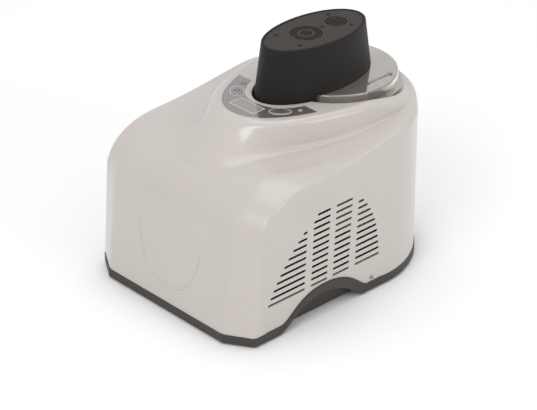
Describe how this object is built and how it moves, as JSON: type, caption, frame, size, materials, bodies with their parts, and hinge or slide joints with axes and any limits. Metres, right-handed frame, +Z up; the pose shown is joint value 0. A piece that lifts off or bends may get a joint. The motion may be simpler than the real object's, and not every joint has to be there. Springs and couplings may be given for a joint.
{
  "type": "compressor ice cream maker",
  "caption": "Countertop ice cream maker: white housing over a compressor cooling well, lift-out bowl with a driven paddle, clear lid with filler flap and a lift-off motor unit.",
  "frame": {"origin": "on the floor, under the middle of the bounding box", "axes": "+Z up, front face towards -Y, vented sides towards +X and -X"},
  "size_m": [0.292, 0.394, 0.31],
  "materials": {
    "white_shell": "glossy",
    "dark_base": "satin",
    "motor_black": "satin",
    "motor_grey": "satin",
    "panel_grey": "satin",
    "key_grey": "satin",
    "display": "glossy",
    "lamp": "glossy",
    "clear_lid": "glossy",
    "aluminium": "satin",
    "copper": "satin",
    "steel": "satin",
    "compressor_black": "satin",
    "foam": "matte",
    "rubber": "matte",
    "circuit_board": "satin",
    "black_plastic": "satin",
    "gear_white": "satin",
    "bronze": "satin",
    "paddle_white": "satin"
  },
  "bodies": {
    "housing": {"base_tray": "dark_base", "housing_shell": "white_shell", "feet": "rubber", "base_screws": "steel", "control_overlay": "panel_grey", "lcd_window": "display", "status_led": "lamp", "control_board": "circuit_board", "board_screws": "steel", "well": "aluminium", "evaporator_coil": "copper", "insulation": "foam", "compressor": "compressor_black", "compressor_grommets": "rubber", "compressor_bolts": "steel", "terminal_cover": "black_plastic", "condenser_fins": "compressor_black", "condenser_tube": "copper", "fan_shroud": "black_plastic", "fan_motor": "steel", "filter_drier": "copper", "discharge_line": "copper", "liquid_line": "copper", "suction_line": "copper", "power_board": "circuit_board", "power_inlet": "black_plastic", "motor_socket": "black_plastic"},
    "start_key": {"start_button": "key_grey"},
    "timer_key": {"timer_button": "key_grey"},
    "fan": {"fan_blades": "black_plastic"},
    "bowl_body": {"bowl": "aluminium"},
    "paddle_body": {"paddle": "paddle_white"},
    "lid_body": {"lid": "clear_lid", "flap_pin": "steel"},
    "flap": {"lid_flap": "clear_lid"},
    "motor_unit": {"motor_cover": "motor_black", "motor_base": "black_plastic", "gear_bridge": "steel", "drive_motor": "steel", "idler_pin": "steel", "output_bush": "bronze", "motor_plug": "black_plastic", "top_plate": "motor_grey", "top_plate_screws": "steel", "bridge_screws": "steel"},
    "pinion_body": {"pinion": "bronze"},
    "idler_body": {"idler_gear": "gear_white"},
    "output_body": {"output_gear": "gear_white", "output_shaft": "steel"}
  },
  "joints": [
    {"name": "start_key_press", "type": "slide", "parent": "housing", "child": "start_key", "axis": [0, 0, -1], "range_m": [0, 0.0011], "stiffness_N_per_m": 400, "springref_m": -0.0006},
    {"name": "timer_key_press", "type": "slide", "parent": "housing", "child": "timer_key", "axis": [0, 0, -1], "range_m": [0, 0.0011], "stiffness_N_per_m": 400, "springref_m": -0.0006},
    {"name": "fan_spin", "type": "hinge", "parent": "housing", "child": "fan", "pos_m": [0.092, -0.079, 0.102], "axis": [1, 0, 0], "continuous": true},
    {"name": "bowl_lift", "type": "slide", "parent": "housing", "child": "bowl_body", "axis": [0, 0, 1], "range_m": [0, 0.16]},
    {"name": "paddle_spin", "type": "hinge", "parent": "bowl_body", "child": "paddle_body", "pos_m": [0, 0.101, 0.16], "axis": [0, 0, 1], "continuous": true},
    {"name": "lid_lift", "type": "slide", "parent": "bowl_body", "child": "lid_body", "axis": [0, 0, 1], "range_m": [0, 0.06]},
    {"name": "flap_hinge", "type": "hinge", "parent": "lid_body", "child": "flap", "pos_m": [0.062, 0.12, 0.2447], "axis": [0, -1, 0], "range_deg": [0, 80]},
    {"name": "motor_lift", "type": "slide", "parent": "lid_body", "child": "motor_unit", "axis": [0, 0, 1], "range_m": [0, 0.08]},
    {"name": "output_spin", "type": "hinge", "parent": "motor_unit", "child": "output_body", "pos_m": [0, 0.101, 0.265], "axis": [0, 0, 1], "continuous": true},
    {"name": "idler_spin", "type": "hinge", "parent": "motor_unit", "child": "idler_body", "pos_m": [0, 0.059, 0.259], "axis": [0, 0, 1], "continuous": true},
    {"name": "pinion_spin", "type": "hinge", "parent": "motor_unit", "child": "pinion_body", "pos_m": [0, 0.029, 0.255], "axis": [0, 0, 1], "continuous": true}
  ],
  "couplings": [
    {"joint": "output_spin", "follows": "paddle_spin", "ratio": 1},
    {"joint": "idler_spin", "follows": "paddle_spin", "ratio": -5},
    {"joint": "pinion_spin", "follows": "paddle_spin", "ratio": 20}
  ]
}
